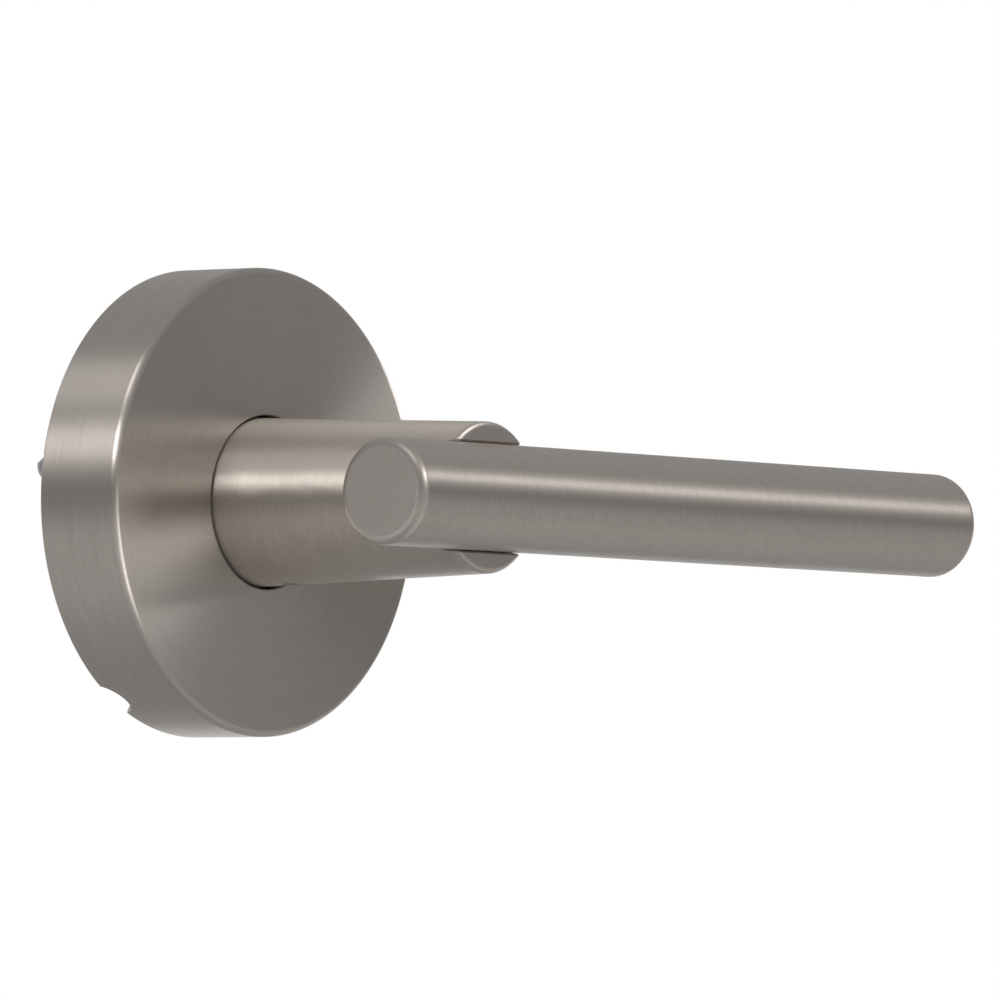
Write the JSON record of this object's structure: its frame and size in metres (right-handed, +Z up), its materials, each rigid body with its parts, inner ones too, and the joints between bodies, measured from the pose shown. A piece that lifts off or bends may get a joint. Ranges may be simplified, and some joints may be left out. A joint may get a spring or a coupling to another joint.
{
  "type": "door lever handle",
  "caption": "Reversible door lever: a straight round bar on a tapered neck, turning in a round rose with a return spring, and driving a square spindle.",
  "frame": {"origin": "centre of the rose's back plane, on the door's face and on the turning axis", "axes": "+Y into the door along the turning axis, +X along the lever bar towards its long end, +Z up; the user is on the -Y side"},
  "size_m": [0.1367, 0.0811, 0.066],
  "materials": {
    "satin_nickel_rose": "satin nickel plate, turned brushing round the face",
    "satin_nickel_neck": "satin nickel plate, brushed round the axis",
    "satin_nickel_bar": "satin nickel plate, brushed round the bar",
    "satin_nickel_cap": "satin nickel plate, turned end face",
    "zinc_casting": "plain zinc die casting",
    "zinc_plated_steel": "bright zinc plated",
    "spindle_steel": "drawn steel",
    "spring_steel": "oil-tempered",
    "black_steel": "blackened, oiled",
    "bearing_plastic": "natural acetal"
  },
  "bodies": {
    "rose": {"rose_cover": "satin_nickel_rose", "mounting_plate": "zinc_casting", "snap_ring": "spring_steel", "spring_cage": "zinc_plated_steel", "cage_screws": "zinc_plated_steel", "stop_pins": "spring_steel", "front_bushing": "bearing_plastic", "rear_bushing": "bearing_plastic", "return_spring": "spring_steel"},
    "lever": {"lever_neck": "satin_nickel_neck", "lever_bar": "satin_nickel_bar", "near_cap": "satin_nickel_cap", "far_cap": "satin_nickel_cap", "bar_slug": "zinc_plated_steel", "bar_screw": "black_steel", "lock_washer": "black_steel", "cam_plate": "zinc_plated_steel", "disc_spring": "spring_steel", "thrust_washer": "zinc_plated_steel", "retaining_ring": "spring_steel", "spindle": "spindle_steel", "grub_screw": "black_steel"}
  },
  "joints": [
    {"name": "lever_turn", "type": "hinge", "parent": "rose", "child": "lever", "pos_m": [0, 0, 0], "axis": [0, 1, 0], "range_deg": [-50, 50], "stiffness_Nm_per_rad": 1.5, "deforming": ["return_spring"]}
  ]
}
